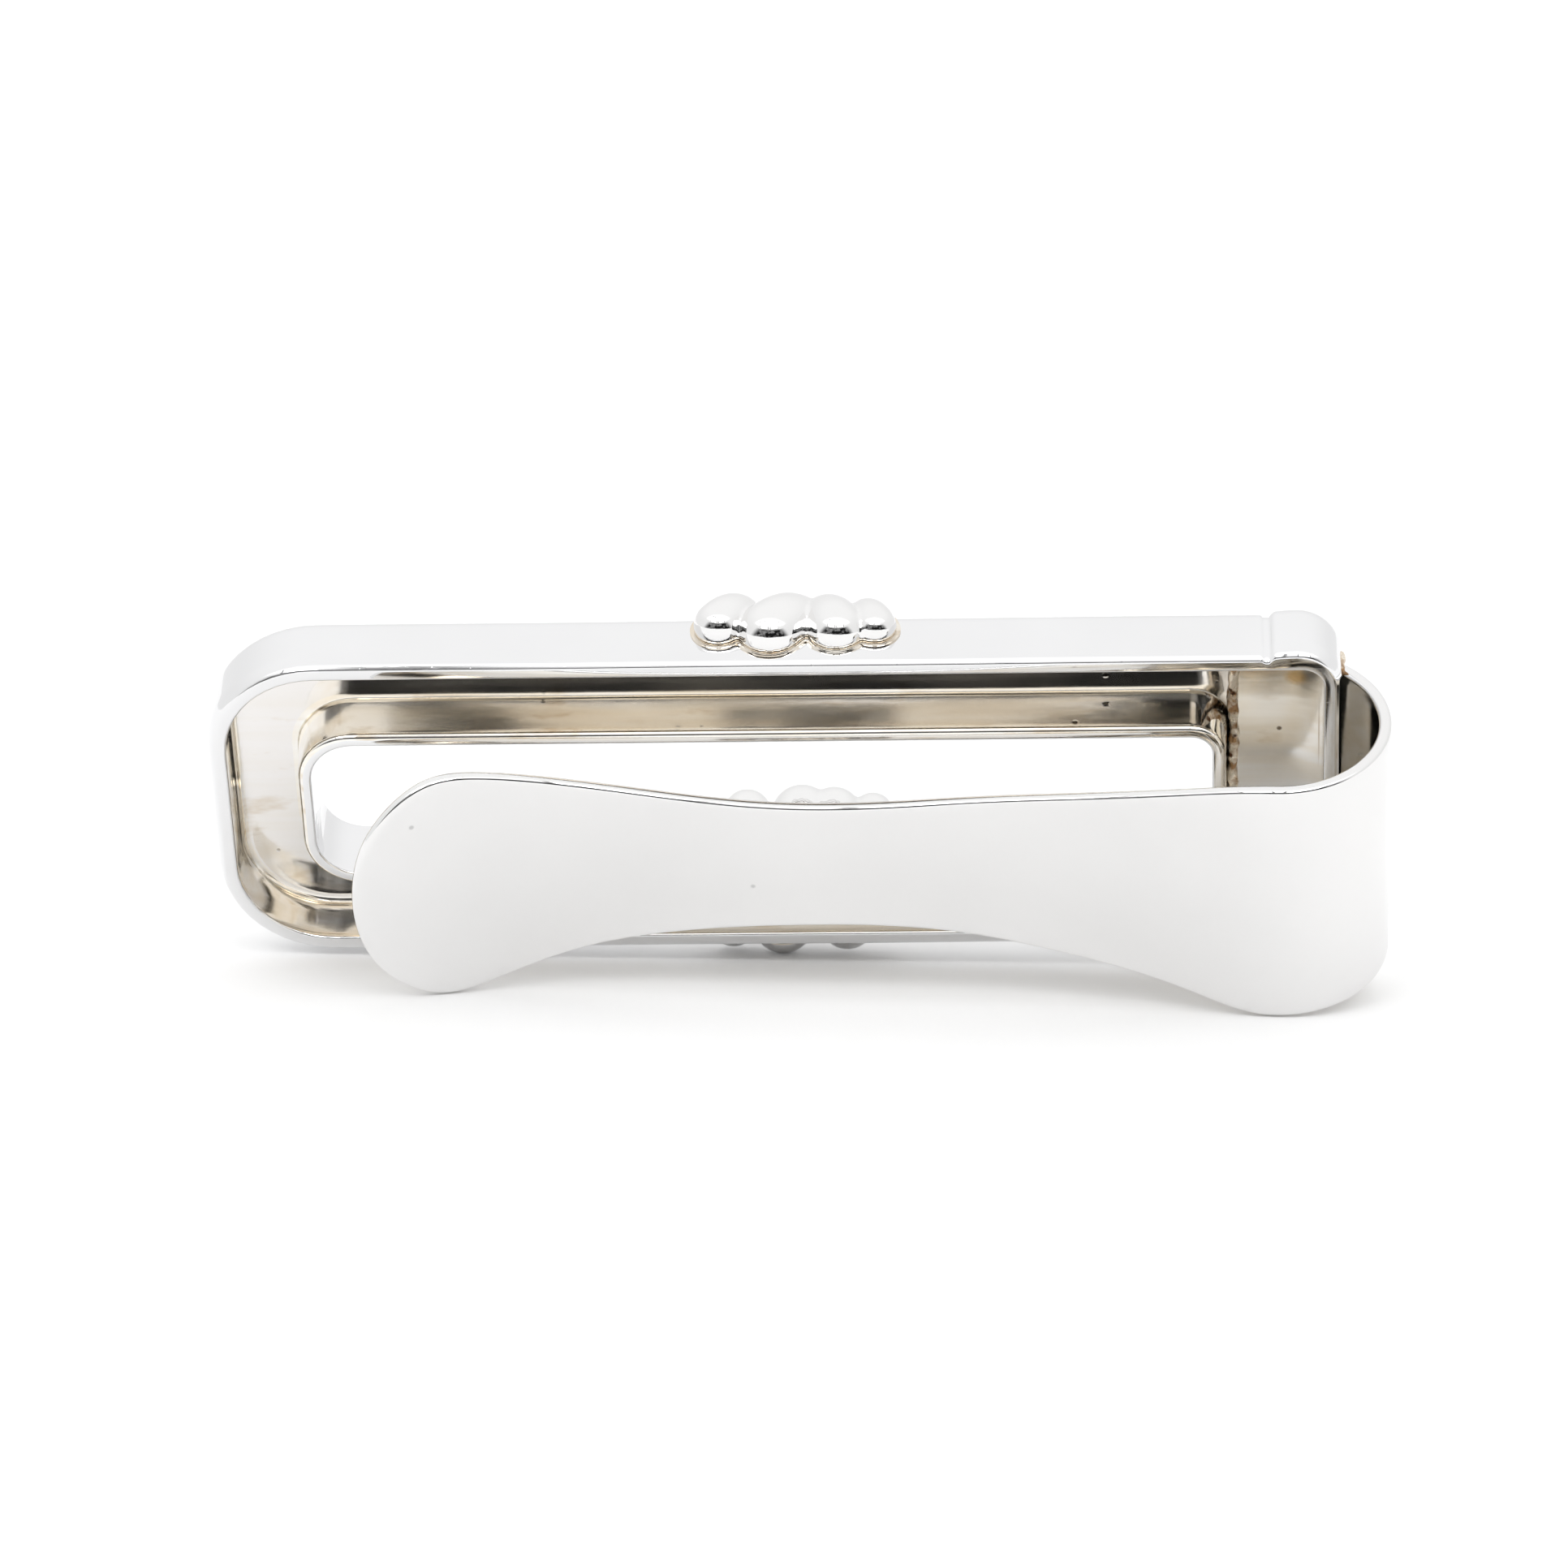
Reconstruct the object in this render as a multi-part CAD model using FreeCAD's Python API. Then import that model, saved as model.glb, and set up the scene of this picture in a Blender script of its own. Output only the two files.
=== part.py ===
import FreeCAD, Part
import math
import os

# A sterling money clip, in millimetres.
#
# A hollow rectangular frame, open at the back, carries a flat spring strip at one end. The strip is
# soldered inside the frame, turns through a U bend and runs back along the frame as a tongue with a
# narrow waist and a round paddle. Two corded cuffs wrap the long bars at mid length.
#
# X runs along the clip, with the U bend at +X. Y runs from the tongue (-Y) to the decorative front
# (+Y). Z is up. The origin is under the middle of the clip's overall box, at its lowest point.

Vector = FreeCAD.Vector

# ---------------------------------------------------------------- driving dimensions
OVERALL_LENGTH = 54.0           # free end of the frame to the outside of the U bend
FRAME_LENGTH = 51.9
FRAME_HEIGHT = 17.2
FRAME_DEPTH = 3.55              # back rim to front face
FREE_CORNER = 5.2               # corner radii of the frame's outline, at the free end ...
BEND_CORNER = 1.9               # ... and at the bend end
FRONT_ROUND = 0.85              # rounding of the front edges
RIM_ROUND = 0.45                # rounding of the rim's outer edge
RIM_INSET = 0.9                 # from the outline to the inside of the hollow
FRONT_WALL = 0.65
HOLLOW_ROUND = 0.5              # rounding inside the hollow, along its floor

OPENING_LENGTH = 41.25          # the window through the frame, measured at the back rim
OPENING_HEIGHT = 7.74
OPENING_END_BAR = 4.7           # width of the bar at the free end
OPENING_FREE_CORNER = 2.0
OPENING_BEND_CORNER = 1.0
OPENING_DRAFT = 0.12            # the window is smaller by this much per side at the front
RING_WALL = 0.75                # thickness of the wall round the window

BAND_LENGTH = 3.3               # raised band at the bend end
BAND_RISE = 0.2
GROOVE_WIDTH = 0.35
GROOVE_DEPTH = 0.12

STRIP_THICK = 0.6
STRIP_WIDTH = 13.4              # width at the U bend
BEND_RADIUS = 5.1               # outside of the U bend
BEND_SPLIT_GAP = 0.08           # running gap where the moving strip meets the fixed strip
LEG_LENGTH = 1.95               # straight leg of the strip, inside the frame
TONGUE_LENGTH = 41.9            # from the bend's centre to the tip

CUFF_PROUD = 1.55               # how far the cuffs stand out from the bars
CORD_TURN = 1.6                 # radius of a strand's path round a bar's front edges
CORD_END_ANGLE = 125            # a strand turns this far, from the outer wall to the window's edge
CORD_END_RISE = 0.53            # how far above the opening's edge the turn of a cord is centred
SOLDER_BED = 0.08               # film of solder under each cuff
SOLDER_SPREAD = 0.18            # how far the film creeps out beyond the cords
SLOT_GAP = 0.12                 # solder-filled gap at each edge of the strip
SLOT_CLEARANCE = 0.03           # gap between the slot and the inside of the bend
BEAD_RADIUS = 0.5               # bead along the end of the strip's leg

# Tongue: distance from the bend's centre, then how far its outer face stands behind the rim.
TONGUE_REACH = ((4.0, 6.45), (10.0, 5.12), (14.0, 4.55), (22.0, 4.33), (28.5, 4.07), (32.0, 4.18),
                (35.0, 4.72), (38.5, 5.8), (TONGUE_LENGTH, 6.9))
TIP_SLOPE = 0.3                 # slope of the blade at its tip, away from the frame
# Tongue: distance from the bend's centre, then half of its width.
TONGUE_HALF_WIDTH = ((4.0, 5.87), (10.0, 4.59), (15.0, 3.85), (20.5, 3.53), (26.0, 3.89),
                     (32.0, 5.03), (35.5, 6.02), (38.0, 6.3), (40.0, 5.1), (41.2, 3.4))
# Cord strands of a cuff: X at the rim, X at the front, radius, height above the bar.
STRANDS = ((-3.4, -2.4, 1.15, 1.45), (-1.05, 0.2, 1.5, CUFF_PROUD),
           (1.95, 1.35, 1.35, 1.45), (3.7, 3.15, 1.0, 1.2))

# ---------------------------------------------------------------- places worked out from them
END_X = OVERALL_LENGTH / 2.0
FREE_END_X = -END_X
FRAME_END_X = FREE_END_X + FRAME_LENGTH
BEND_X = END_X - BEND_RADIUS
FLOOR_DEPTH = FRAME_DEPTH - FRONT_WALL
BEND_REACH = 2.0 * BEND_RADIUS - FLOOR_DEPTH    # the bend's outer face, behind the rim
RIM_Y = (BEND_REACH - FRAME_DEPTH - CUFF_PROUD) / 2.0
FRONT_Y = RIM_Y + FRAME_DEPTH
FLOOR_Y = RIM_Y + FLOOR_DEPTH
BEND_Y = FLOOR_Y - BEND_RADIUS
FRAME_LOW_Z = CUFF_PROUD
MID_Z = FRAME_LOW_Z + FRAME_HEIGHT / 2.0
FRAME_TOP_Z = FRAME_LOW_Z + FRAME_HEIGHT
OPENING_FREE_X = FREE_END_X + OPENING_END_BAR
OPENING_BEND_X = OPENING_FREE_X + OPENING_LENGTH
OPENING_HALF = OPENING_HEIGHT / 2.0
STRIP_HALF = STRIP_WIDTH / 2.0
LEG_END_X = BEND_X - LEG_LENGTH
BAND_X = FRAME_END_X - BAND_LENGTH
MARGIN = 1.0                                    # how far a cutting shape runs past its work


def rounded_outline(x_low, x_high, z_low, z_high, r_low, r_high, y):
    """Closed wire of a rounded rectangle in the plane at y, with its own radius at each X end."""
    def bow(cx, cz, radius, start):
        """Quarter circle, through its start, its middle and its end."""
        points = []
        for turn in (0, 45, 90):
            angle = math.radians(start + turn)
            points.append(Vector(cx + radius * math.cos(angle), y, cz + radius * math.sin(angle)))
        return Part.Arc(*points).toShape()

    corners = (
        bow(x_high - r_high, z_low + r_high, r_high, 270),
        bow(x_high - r_high, z_high - r_high, r_high, 0),
        bow(x_low + r_low, z_high - r_low, r_low, 90),
        bow(x_low + r_low, z_low + r_low, r_low, 180),
    )
    edges = []
    for index, corner in enumerate(corners):
        following = corners[(index + 1) % len(corners)]
        edges.append(corner)
        edges.append(Part.makeLine(corner.Vertexes[-1].Point, following.Vertexes[0].Point))
    return Part.Wire(edges)


def slab(wire, depth):
    """Solid of a closed wire pushed along +Y."""
    return Part.Face(wire).extrude(Vector(0, depth, 0))


def edges_at_y(shape, y):
    """Edges of a shape that lie in the plane at y."""
    tolerance = 1e-4
    return [edge for edge in shape.Edges
            if abs(edge.BoundBox.YMin - y) < tolerance and abs(edge.BoundBox.YMax - y) < tolerance]


def frame_body(grow=0.0):
    """The frame's outside, with its rounded front and rim; grow swells it, but not past the rim."""
    outline = rounded_outline(FREE_END_X - grow, FRAME_END_X - BAND_RISE + grow,
                              FRAME_LOW_Z - grow, FRAME_TOP_Z + grow,
                              FREE_CORNER + grow, BEND_CORNER + grow, RIM_Y)
    front = FRONT_Y + grow
    body = slab(outline, front - RIM_Y)
    body = body.makeFillet(FRONT_ROUND, edges_at_y(body, front))
    return body.makeFillet(RIM_ROUND, edges_at_y(body, RIM_Y))


def slice_of(shape, x_low, x_high):
    """The stretch of a shape between two stations along the clip."""
    reach = 2.0 * FRAME_HEIGHT
    gate = Part.makeBox(x_high - x_low, reach, reach, Vector(x_low, RIM_Y - MARGIN, MID_Z - reach / 2.0))
    return shape.common(gate)


def end_band():
    """Raised band round the frame at the bend end."""
    return slice_of(frame_body(BAND_RISE), BAND_X, END_X)


def groove_cutter():
    """Shallow groove that parts the raised band from the bars."""
    ring = slice_of(frame_body(BAND_RISE), BAND_X - GROOVE_WIDTH, BAND_X)
    return ring.cut(frame_body(-GROOVE_DEPTH))


def hollow():
    """The space inside the frame, open at the back."""
    radius_free = FREE_CORNER - RIM_INSET
    radius_bend = BEND_CORNER - RIM_INSET
    outline = rounded_outline(FREE_END_X + RIM_INSET, FRAME_END_X - RIM_INSET,
                              FRAME_LOW_Z + RIM_INSET, FRAME_TOP_Z - RIM_INSET,
                              radius_free, radius_bend, RIM_Y)
    space = slab(outline, FLOOR_DEPTH)
    return space.makeFillet(HOLLOW_ROUND, edges_at_y(space, FLOOR_Y))


def window(grow, y_low, y_high):
    """Tapered plug of the window, grown by a wall thickness, between two depths."""
    sections = []
    for y in (y_low, y_high):
        draft = OPENING_DRAFT * (y - RIM_Y) / FRAME_DEPTH
        shift = grow - draft
        sections.append(rounded_outline(OPENING_FREE_X - shift, OPENING_BEND_X + shift,
                                        MID_Z - OPENING_HALF - shift, MID_Z + OPENING_HALF + shift,
                                        OPENING_FREE_CORNER + shift, OPENING_BEND_CORNER + shift, y))
    return Part.makeLoft(sections, True, True)


def frame_shell():
    """The frame: a hollow channel that runs round the window."""
    body = frame_body().fuse(end_band()).cut(groove_cutter())
    body = body.cut(hollow())
    body = body.fuse(window(RING_WALL, RIM_Y, FRONT_Y - FRONT_WALL / 2.0))
    body = body.cut(window(0.0, RIM_Y - MARGIN, FRONT_Y + MARGIN))
    return body.cut(strip_slot()).removeSplitter()


def bend_sector(start, end, outer, inner, z_low, height):
    """Part of the U bend between two angles; 90 is the leg, 0 the far side, -90 the tongue."""
    centre = Vector(BEND_X, BEND_Y, z_low)
    up = Vector(0, 0, 1)
    first = math.radians(start)
    last = math.radians(end)
    outside = Part.Arc(Part.Circle(centre, up, outer), first, last).toShape()
    inside = Part.Arc(Part.Circle(centre, up, inner), first, last).toShape()
    edges = [outside, inside]
    for outside_end, inside_end in zip(outside.Vertexes, inside.Vertexes):
        edges.append(Part.makeLine(outside_end.Point, inside_end.Point))
    wire = Part.Wire(Part.__sortEdges__(edges))
    return Part.Face(wire).extrude(Vector(0, 0, height))


def strip_slot():
    """The curved slot through the frame's end wall that the strip passes through."""
    half = STRIP_HALF + SLOT_GAP
    inner = BEND_RADIUS - STRIP_THICK - SLOT_CLEARANCE
    end_angle = math.degrees(math.acos((END_X - MARGIN - BEND_X) / BEND_RADIUS))
    return bend_sector(end_angle, 90, BEND_RADIUS, inner, MID_Z - half, 2.0 * half)


def spring_root():
    """Fixed half of the strip: the soldered leg and the first half of the bend."""
    inner = BEND_RADIUS - STRIP_THICK
    split = math.degrees(BEND_SPLIT_GAP / 2.0 / BEND_RADIUS)
    z_low = MID_Z - STRIP_HALF
    corner = Vector(LEG_END_X, FLOOR_Y - STRIP_THICK, z_low)
    leg = Part.makeBox(LEG_LENGTH, STRIP_THICK, STRIP_WIDTH, corner)
    bend = bend_sector(split, 90, BEND_RADIUS, inner, z_low, STRIP_WIDTH)
    return leg.fuse(bend).removeSplitter()


def tongue_profile():
    """Side view of the blade: a thin curved band, seen along Z."""
    stations = [Vector(BEND_X, BEND_Y - BEND_RADIUS, 0)]
    stations += [Vector(BEND_X - distance, RIM_Y - reach, 0) for distance, reach in TONGUE_REACH]
    outer = Part.BSplineCurve()
    outer.interpolate(stations, InitialTangent=Vector(-1, 0, 0), FinalTangent=Vector(-1, -TIP_SLOPE, 0))
    inner_points = []
    steps = 4 * len(TONGUE_REACH)
    for step in range(steps + 1):
        place = outer.FirstParameter + (outer.LastParameter - outer.FirstParameter) * step / steps
        along = outer.tangent(place)[0]
        inner_points.append(outer.value(place) + Vector(along.y, -along.x, 0) * STRIP_THICK)
    inner = Part.BSplineCurve()
    inner.interpolate(inner_points)
    edges = [outer.toShape(), inner.toShape(),
             Part.makeLine(stations[0], inner_points[0]), Part.makeLine(stations[-1], inner_points[-1])]
    return Part.Wire(Part.__sortEdges__(edges))


def tongue_outline():
    """Face view of the blade in the XZ plane: wide at the bend, narrow waist, round paddle."""
    upper = [Vector(BEND_X, 0, MID_Z + STRIP_HALF)]
    upper += [Vector(BEND_X - distance, 0, MID_Z + half) for distance, half in TONGUE_HALF_WIDTH]
    upper.append(Vector(BEND_X - TONGUE_LENGTH, 0, MID_Z))
    side = Part.BSplineCurve()
    side.interpolate(upper, InitialTangent=Vector(-1, 0, 0), FinalTangent=Vector(0, 0, -1))
    top = side.toShape()
    bottom = top.mirror(Vector(0, 0, MID_Z), Vector(0, 0, 1))
    root = Part.makeLine(Vector(BEND_X, 0, MID_Z - STRIP_HALF), upper[0])
    return Part.Wire(Part.__sortEdges__([top, bottom, root]))


def spring_tongue():
    """Moving half of the strip: the second half of the bend and the blade."""
    inner = BEND_RADIUS - STRIP_THICK
    split = math.degrees(BEND_SPLIT_GAP / 2.0 / BEND_RADIUS)
    z_low = MID_Z - STRIP_HALF
    band = Part.Face(tongue_profile()).extrude(Vector(0, 0, STRIP_WIDTH))
    band.translate(Vector(0, 0, z_low))
    depth = 2.0 * BEND_REACH
    plan = Part.Face(tongue_outline()).extrude(Vector(0, depth, 0))
    plan.translate(Vector(0, RIM_Y - depth, 0))
    blade = band.common(plan)
    bend = bend_sector(-90, -split, BEND_RADIUS, inner, z_low, STRIP_WIDTH)
    return blade.fuse(bend).removeSplitter()


def bar_block(grow):
    """Upper long bar of the frame as a plain bar, grown all round its three faces."""
    half_length = FRAME_HEIGHT / 2.0
    outer = FRAME_TOP_Z + grow
    front = FRONT_Y + grow
    rim_open = MID_Z + OPENING_HALF - grow
    front_open = rim_open - OPENING_DRAFT
    bulge = FRONT_ROUND + grow
    diagonal = bulge * math.cos(math.radians(45))
    middle = Vector(-half_length, front - bulge + diagonal, outer - bulge + diagonal)
    back = Vector(-half_length, RIM_Y, outer)
    arc_start = Vector(-half_length, front - bulge, outer)
    arc_end = Vector(-half_length, front, outer - bulge)
    low_front = Vector(-half_length, front, front_open)
    low_back = Vector(-half_length, RIM_Y, rim_open)
    wire = Part.Wire([
        Part.makeLine(back, arc_start),
        Part.Arc(arc_start, middle, arc_end).toShape(),
        Part.makeLine(arc_end, low_front),
        Part.makeLine(low_front, low_back),
        Part.makeLine(low_back, back),
    ])
    return Part.Face(wire).extrude(Vector(2.0 * half_length, 0, 0))


def strand(x_rim, x_front, radius, proud):
    """One cord strand, bent round the front of the upper bar, with round ends near the rim."""
    lift = proud - radius
    front = FRONT_Y + lift
    high = FRAME_TOP_Z + lift - CORD_TURN
    low = MID_Z + OPENING_HALF - OPENING_DRAFT + CORD_END_RISE
    points = []
    for centre_z, turns in ((high, (0, 30, 60, 90)), (low, (90, CORD_END_ANGLE))):
        for turn in turns:
            angle = math.radians(turn)
            points.append(Vector(x_rim + (x_front - x_rim) * math.sin(angle),
                                 front - CORD_TURN + CORD_TURN * math.sin(angle),
                                 centre_z + CORD_TURN * math.cos(angle)))
    line = Part.BSplineCurve()
    line.interpolate(points)
    start = line.tangent(line.FirstParameter)[0]
    ring = Part.Wire([Part.Circle(points[0], start, radius).toShape()])
    cord = Part.Wire([line.toShape()]).makePipeShell([ring], True, False)
    for end in (points[0], points[-1]):
        cord = cord.fuse(Part.makeSphere(radius, end))
    return cord


def cords(grow):
    """All strands of a cuff grown together, each thicker by grow all round."""
    strands = [strand(x_rim, x_front, radius + grow, proud + grow)
               for x_rim, x_front, radius, proud in STRANDS]
    return strands[0].multiFuse(strands[1:])


def cuff():
    """Corded cuff on the upper bar: the strands grown together, hollowed to fit the bar."""
    return cords(0.0).cut(bar_block(SOLDER_BED))


def solder_bed():
    """Film of solder between a cuff and the bar, creeping out a little round the cords."""
    film = bar_block(SOLDER_BED).cut(bar_block(0.0))
    return film.common(cords(SOLDER_SPREAD))


def lower(shape):
    """The same shape on the lower bar."""
    return shape.mirror(Vector(0, 0, MID_Z), Vector(0, 0, 1))


def anchor_solder():
    """Bead of solder along the end of the strip's leg, where it meets the window's wall."""
    low_end = Vector(LEG_END_X, FLOOR_Y - STRIP_THICK, MID_Z - STRIP_HALF)
    return Part.makeCylinder(BEAD_RADIUS, STRIP_WIDTH, low_end)


def end_solder():
    """Solder that closes the gap between the strip's upper edge and the frame's end wall."""
    inner = BEND_RADIUS - STRIP_THICK
    reach_in = math.degrees(math.acos((FRAME_END_X - RIM_INSET - BEND_X) / inner))
    reach_out = math.degrees(math.acos((FRAME_END_X - BEND_X) / BEND_RADIUS))
    return bend_sector(reach_out, reach_in, BEND_RADIUS, inner, MID_Z + STRIP_HALF, SLOT_GAP)


def build():
    """Every sub-part by name, in its place."""
    frame = frame_shell()
    root = spring_root()
    tongue = spring_tongue()
    upper_cuff = cuff()
    bed = solder_bed()
    seam = end_solder()
    return {
        "frame_shell": frame,
        "spring_root": root,
        "spring_tongue": tongue,
        "cuff_upper": upper_cuff,
        "cuff_lower": lower(upper_cuff),
        "cuff_solder_upper": bed.cut(frame),
        "cuff_solder_lower": lower(bed).cut(frame),
        "anchor_solder": anchor_solder().cut(frame).cut(root),
        "end_solder_upper": seam.cut(frame),
        "end_solder_lower": lower(seam).cut(frame),
    }


os.makedirs("parts", exist_ok=True)
for name, shape in build().items():
    shape.exportStep(os.path.join("parts", name + ".step"))
    box = shape.BoundBox
    print(name, "valid", shape.isValid(), "solids", len(shape.Solids), "volume", round(shape.Volume, 2),
          "x", round(box.XMin, 2), round(box.XMax, 2), "y", round(box.YMin, 2), round(box.YMax, 2),
          "z", round(box.ZMin, 2), round(box.ZMax, 2))
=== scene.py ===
import math

import bmesh
import bpy
import numpy as np
from mathutils import Matrix, Vector


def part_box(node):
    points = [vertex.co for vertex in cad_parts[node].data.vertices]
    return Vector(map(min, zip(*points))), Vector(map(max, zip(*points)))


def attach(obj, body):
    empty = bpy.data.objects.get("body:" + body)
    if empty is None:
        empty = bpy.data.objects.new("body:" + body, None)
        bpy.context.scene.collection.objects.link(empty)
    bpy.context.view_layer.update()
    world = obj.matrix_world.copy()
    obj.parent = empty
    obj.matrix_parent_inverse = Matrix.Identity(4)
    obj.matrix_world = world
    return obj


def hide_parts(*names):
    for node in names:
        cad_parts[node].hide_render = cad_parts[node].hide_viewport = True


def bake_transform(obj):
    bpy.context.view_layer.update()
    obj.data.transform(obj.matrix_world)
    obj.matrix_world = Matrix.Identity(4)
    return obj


# Looks of a sterling money clip. Shapes are worked out in millimetres in the frame's own axes: X along
# the clip, +Y to its front, Z up. MM turns them into metres where they reach a mesh, material or camera.

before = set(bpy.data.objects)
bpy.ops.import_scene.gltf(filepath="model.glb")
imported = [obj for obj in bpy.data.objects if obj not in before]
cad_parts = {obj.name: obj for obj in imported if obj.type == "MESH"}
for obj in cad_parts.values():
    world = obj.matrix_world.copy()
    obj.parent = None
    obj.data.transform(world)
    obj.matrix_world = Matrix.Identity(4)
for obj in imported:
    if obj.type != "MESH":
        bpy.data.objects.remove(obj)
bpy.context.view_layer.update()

MM = 0.001
JOIN_GAP = 0.001                # points of a mesh nearer than this are one point
random = np.random.default_rng(7)


# ---------------------------------------------------------------- places, from the frame
def box_mm(node):
    """Lowest and highest corner of a frame node, in millimetres."""
    low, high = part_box(node)
    return np.array(low) / MM, np.array(high) / MM


frame_low, frame_high = box_mm("frame_shell")
root_low, root_high = box_mm("spring_root")
tongue_low = box_mm("spring_tongue")[0]

BAND_RISE = 0.2                 # how far the end band stands above the bars
FREE_X = frame_low[0]
END_X = frame_high[0]
RIM_Y = frame_low[1]
FRONT_Y = frame_high[1] - BAND_RISE
MID_Z = (frame_low[2] + frame_high[2]) / 2
FRAME_HALF = (frame_high[2] - frame_low[2]) / 2 - BAND_RISE
FLOOR_Y = root_high[1]
BEND_RADIUS = (root_high[1] - tongue_low[1]) / 2
BEND_X = root_high[0] - BEND_RADIUS
BEND_Y = FLOOR_Y - BEND_RADIUS
LEG_X = root_low[0]
TONGUE_LENGTH = BEND_X - tongue_low[0]
STRIP_HALF = (root_high[2] - root_low[2]) / 2

# ---------------------------------------------------------------- sizes of the shapes
STRIP_THICK = 0.6               # the bent spring strip
CHANNEL_Y = FLOOR_Y - 0.26      # floor of the channel; the strip's leg is let into it
STRIP_EDGE = 0.25               # rounding of the strip's edges
FREE_CORNER = 5.2               # corner radii of the frame's outline
BEND_CORNER = 1.9
RIM_INSET = 0.9                 # outline to the inside of the hollow
ROLL_RADIUS = 1.5               # the sides roll in gently to a crisp edge at the rim
ROLL_TURN = math.radians(35)
RIM_CRISP = 0.04                # size of that crisp edge
FRONT_ROUND = 0.85              # rounding to the front face, and between the hollow's wall and floor
HOLLOW_ROUND = 0.5
EDGE_ROUND = 0.15               # rounding of the edges of the window and of the rim's inside
WINDOW_FREE_X = FREE_X + 4.7    # ends, half height and corner radii of the window
WINDOW_BEND_X = WINDOW_FREE_X + 41.25
WINDOW_HALF = 3.81
WINDOW_FREE_CORNER = 2.0
WINDOW_BEND_CORNER = 1.0
RING_RIM = 0.62                 # thickness of the window's collar at the rim and at the channel's floor
RING_FOOT = 0.76
RING_WORN = 0.3                 # worn edge of the collar, and the seam at its foot
RING_SEAM = 0.08
BAND_X = END_X - 3.3            # start of the raised band at the bend end, and the groove beside it
GROOVE_WIDTH = 0.35
GROOVE_DEPTH = 0.12
BAND_EDGE = 0.6                 # share of the band's rise at its edges, and what its dome adds
BAND_DOME = 0.5
BAND_SOFT = 0.06                # softness of the band's and the groove's edges
FRAME_SWAY = ((17, 9), 0.02)    # wavelengths and height of the metal's unevenness
STRIP_SWAY = ((19, 8), 0.012)
SPAN_STEPS = 40                 # points on each span of a smooth curve

# Blade of the strip: distance from the bend's centre, then the outer face's distance behind the rim.
TONGUE_REACH = ((4.0, 6.45), (10.0, 5.12), (14.0, 4.55), (22.0, 4.33), (28.5, 4.07), (32.0, 4.18),
                (35.0, 4.72), (38.5, 5.8), (TONGUE_LENGTH, 6.9))
# Blade of the strip: distance from the bend's centre, then half of its width.
TONGUE_HALF_WIDTH = ((4.0, 5.87), (10.0, 4.59), (15.0, 3.85), (20.5, 3.53), (26.0, 3.89),
                     (32.0, 5.03), (35.5, 6.02), (38.0, 6.3), (40.0, 5.1), (41.2, 3.4))
TIP_SLOPE = 0.3                 # slope of the blade at its tip


# ---------------------------------------------------------------- mesh helpers
def grid_faces(rows, columns, wrap_rows=False, wrap_columns=False):
    """Quads of a grid of points stored row by row; a wrapped direction closes on itself."""
    faces = []
    for row in range(rows if wrap_rows else rows - 1):
        below = row * columns
        above = (row + 1) % rows * columns
        for column in range(columns if wrap_columns else columns - 1):
            after = (column + 1) % columns
            faces.append((below + column, below + after, above + after, above + column))
    return faces


def close_up(mesh):
    """Joins points that lie on each other and turns every face outward."""
    builder = bmesh.new()
    builder.from_mesh(mesh)
    bmesh.ops.remove_doubles(builder, verts=builder.verts, dist=JOIN_GAP * MM)
    bmesh.ops.recalc_face_normals(builder, faces=builder.faces)
    builder.to_mesh(mesh)
    builder.free()


def dress(mesh, *materials):
    """Adds materials to a mesh and shades it smooth."""
    for material in materials:
        mesh.materials.append(material)
    mesh.polygons.foreach_set("use_smooth", [True] * len(mesh.polygons))


def add_piece(name, mesh):
    """Object that shows a mesh."""
    piece = bpy.data.objects.new(name, mesh)
    bpy.context.scene.collection.objects.link(piece)
    return piece


def add_mesh(name, points, faces, materials, face_materials=None):
    """Smooth-shaded piece from points in millimetres."""
    mesh = bpy.data.meshes.new(name)
    mesh.from_pydata((np.asarray(points, float) * MM).tolist(), [], faces)
    if face_materials is not None:
        mesh.polygons.foreach_set("material_index", face_materials)
    close_up(mesh)
    dress(mesh, *materials)
    return add_piece(name, mesh)


def lengths_along(points):
    """Distance along a line of points to each of them."""
    return np.concatenate(([0], np.cumsum(np.linalg.norm(np.diff(points, axis=0), axis=1))))


def directions_along(points, *spacing):
    """Unit direction of a line of points at each of them."""
    along = np.gradient(points, *spacing, axis=0)
    return along / np.linalg.norm(along, axis=1)[:, None]


def smooth_curve(points, start, end, count):
    """Points evenly spaced along the smooth curve through points, with given end directions."""
    points = np.array(points, float)
    spans = np.linalg.norm(np.diff(points, axis=0), axis=1)
    size = len(points)
    matrix = np.zeros((size, size))
    matrix[0, 0] = 1
    matrix[-1, -1] = 1
    right = np.zeros_like(points)
    right[0] = start
    right[-1] = end
    for index in range(1, size - 1):
        before = spans[index - 1]
        after = spans[index]
        matrix[index, index - 1:index + 2] = (after, 2 * (before + after), before)
        rise_before = (points[index] - points[index - 1]) / before
        rise_after = (points[index + 1] - points[index]) / after
        right[index] = 3 * (after * rise_before + before * rise_after)
    slopes = np.linalg.solve(matrix, right)
    fine = []
    for index, span in enumerate(spans):
        t = np.linspace(0, 1, SPAN_STEPS, endpoint=index == size - 2)[:, None]
        fine.append((1 + 2 * t) * (1 - t) ** 2 * points[index] + t * (1 - t) ** 2 * span * slopes[index]
                    + t * t * (3 - 2 * t) * points[index + 1] + t * t * (t - 1) * span * slopes[index + 1])
    fine = np.vstack(fine)
    lengths = lengths_along(fine)
    even = np.linspace(0, lengths[-1], count)
    return np.column_stack([np.interp(even, lengths, fine[:, axis]) for axis in range(points.shape[1])])


def steps(count):
    """Even shares, from one step up to 1."""
    return np.linspace(0, 1, count + 1)[1:]


def smooth_step(value, low, high):
    """0 below low, 1 above high, with an even ease between."""
    t = np.clip((value - low) / (high - low), 0, 1)
    return t * t * (3 - 2 * t)


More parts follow.
